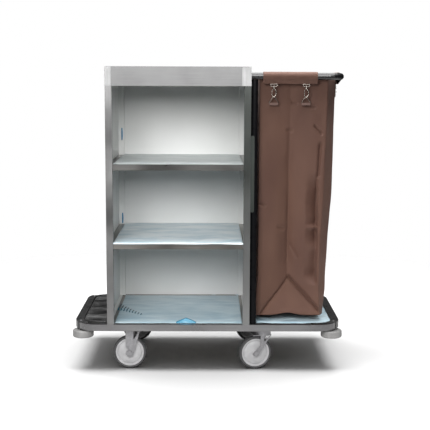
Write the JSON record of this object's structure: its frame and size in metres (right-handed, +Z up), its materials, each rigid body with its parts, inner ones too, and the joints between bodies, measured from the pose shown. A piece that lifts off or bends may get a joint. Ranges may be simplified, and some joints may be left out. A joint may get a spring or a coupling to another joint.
{
  "type": "housekeeping cart",
  "caption": "Open stainless housekeeping cart with shelf bays, a top tray and a laundry bag hung on a tube bail, on castors with bumper rollers.",
  "frame": {"origin": "on the floor, under the middle of the cart's bounding box", "axes": "+X to the cart's right (bag end), +Y to its rear (closed back), +Z up; the open front faces -Y"},
  "size_m": [1.0266, 0.5414, 1.146],
  "materials": {
    "frame_steel": "satin stainless tube",
    "sheet_steel": "brushed stainless sheet",
    "black_paint": "gloss black powder coat",
    "black_rubber": "black moulded rubber",
    "zinc_plate": "dull zinc plate",
    "hub_plastic": "light grey moulded plastic",
    "tyre_rubber": "grey thermoplastic rubber",
    "roller_rubber": "light grey non-marking rubber",
    "bag_fabric": "brown coated polyester weave",
    "hook_metal": "nickel-plated snap hook"
  },
  "bodies": {
    "cart": {"base_frame": "frame_steel", "castor_channel_left": "frame_steel", "castor_channel_right": "frame_steel", "post_front_left": "frame_steel", "post_front_right": "frame_steel", "post_rear_left": "frame_steel", "post_rear_right": "frame_steel", "deck_panel": "sheet_steel", "left_platform_panel": "sheet_steel", "right_platform_panel": "sheet_steel", "side_panel_left": "sheet_steel", "side_panel_right": "sheet_steel", "back_panel": "sheet_steel", "shelf_upper": "sheet_steel", "shelf_lower": "sheet_steel", "top_tray": "sheet_steel", "bail_tube": "black_paint", "bag_frame_leg_front": "black_paint", "bag_frame_leg_rear": "black_paint", "roller_bracket_front_left": "black_paint", "roller_bracket_front_right": "black_paint", "roller_bracket_rear_left": "black_paint", "roller_bracket_rear_right": "black_paint", "left_platform_mat": "black_rubber", "bumper_strip_left": "black_rubber", "bumper_strip_right": "black_rubber", "leg_tie_plate": "zinc_plate", "castor_fork_front_left": "zinc_plate", "castor_fork_rear_left": "zinc_plate", "castor_plate_front_right": "zinc_plate", "castor_plate_rear_right": "zinc_plate", "axle_bolt_front_left": "zinc_plate", "axle_bolt_rear_left": "zinc_plate", "laundry_bag": "bag_fabric", "sleeve_front": "bag_fabric", "sleeve_rear": "bag_fabric", "sleeve_side": "bag_fabric"},
    "wheel_front_left": {"tyre_front_left": "tyre_rubber", "wheel_hub_front_left": "hub_plastic"},
    "wheel_front_right": {"tyre_front_right": "tyre_rubber", "wheel_hub_front_right": "hub_plastic"},
    "wheel_rear_left": {"tyre_rear_left": "tyre_rubber", "wheel_hub_rear_left": "hub_plastic"},
    "wheel_rear_right": {"tyre_rear_right": "tyre_rubber", "wheel_hub_rear_right": "hub_plastic"},
    "swivel_front_right": {"castor_fork_front_right": "zinc_plate", "axle_bolt_front_right": "zinc_plate"},
    "swivel_rear_right": {"castor_fork_rear_right": "zinc_plate", "axle_bolt_rear_right": "zinc_plate"},
    "roller_front_left": {"bumper_roller_front_left": "roller_rubber"},
    "roller_front_right": {"bumper_roller_front_right": "roller_rubber"},
    "roller_rear_left": {"bumper_roller_rear_left": "roller_rubber"},
    "roller_rear_right": {"bumper_roller_rear_right": "roller_rubber"},
    "hook_front_1": {"snap_hook_front_1": "hook_metal"},
    "hook_front_2": {"snap_hook_front_2": "hook_metal"},
    "hook_rear_1": {"snap_hook_rear_1": "hook_metal"},
    "hook_rear_2": {"snap_hook_rear_2": "hook_metal"},
    "hook_side_1": {"snap_hook_side_1": "hook_metal"},
    "hook_side_2": {"snap_hook_side_2": "hook_metal"}
  },
  "joints": [
    {"name": "wheel_spin_front_left", "type": "hinge", "parent": "cart", "child": "wheel_front_left", "pos_m": [-0.297, -0.205, 0.0635], "axis": [0, 1, 0], "continuous": true},
    {"name": "castor_swivel_front_right", "type": "hinge", "parent": "cart", "child": "swivel_front_right", "pos_m": [0.214, -0.205, 0.145], "axis": [0, 0, 1], "continuous": true},
    {"name": "wheel_spin_front_right", "type": "hinge", "parent": "swivel_front_right", "child": "wheel_front_right", "pos_m": [0.1827, -0.21165, 0.0635], "axis": [-0.2079, 0.9781, 0], "continuous": true},
    {"name": "wheel_spin_rear_left", "type": "hinge", "parent": "cart", "child": "wheel_rear_left", "pos_m": [-0.297, 0.205, 0.0635], "axis": [0, 1, 0], "continuous": true},
    {"name": "castor_swivel_rear_right", "type": "hinge", "parent": "cart", "child": "swivel_rear_right", "pos_m": [0.214, 0.205, 0.145], "axis": [0, 0, 1], "continuous": true},
    {"name": "wheel_spin_rear_right", "type": "hinge", "parent": "swivel_rear_right", "child": "wheel_rear_right", "pos_m": [0.1827, 0.19835, 0.0635], "axis": [-0.2079, 0.9781, 0], "continuous": true},
    {"name": "roller_spin_front_left", "type": "hinge", "parent": "cart", "child": "roller_front_left", "pos_m": [-0.4735, -0.222, 0.141], "axis": [0, 0, 1], "continuous": true},
    {"name": "roller_spin_front_right", "type": "hinge", "parent": "cart", "child": "roller_front_right", "pos_m": [0.4735, -0.222, 0.141], "axis": [0, 0, 1], "continuous": true},
    {"name": "roller_spin_rear_left", "type": "hinge", "parent": "cart", "child": "roller_rear_left", "pos_m": [-0.4735, 0.222, 0.141], "axis": [0, 0, 1], "continuous": true},
    {"name": "roller_spin_rear_right", "type": "hinge", "parent": "cart", "child": "roller_rear_right", "pos_m": [0.4735, 0.222, 0.141], "axis": [0, 0, 1], "continuous": true},
    {"name": "hook_turn_front_1", "type": "hinge", "parent": "cart", "child": "hook_front_1", "pos_m": [0.242, -0.25, 1.075], "axis": [0, 0, 1], "range_deg": [-30, 30]},
    {"name": "hook_turn_front_2", "type": "hinge", "parent": "cart", "child": "hook_front_2", "pos_m": [0.361, -0.25, 1.075], "axis": [0, 0, 1], "range_deg": [-30, 30]},
    {"name": "hook_turn_rear_1", "type": "hinge", "parent": "cart", "child": "hook_rear_1", "pos_m": [0.361, 0.25, 1.075], "axis": [0, 0, 1], "range_deg": [-30, 30]},
    {"name": "hook_turn_rear_2", "type": "hinge", "parent": "cart", "child": "hook_rear_2", "pos_m": [0.242, 0.25, 1.075], "axis": [0, 0, 1], "range_deg": [-30, 30]},
    {"name": "hook_turn_side_1", "type": "hinge", "parent": "cart", "child": "hook_side_1", "pos_m": [0.491, -0.0595, 1.075], "axis": [0, 0, 1], "range_deg": [-30, 30]},
    {"name": "hook_turn_side_2", "type": "hinge", "parent": "cart", "child": "hook_side_2", "pos_m": [0.491, 0.0595, 1.075], "axis": [0, 0, 1], "range_deg": [-30, 30]}
  ]
}
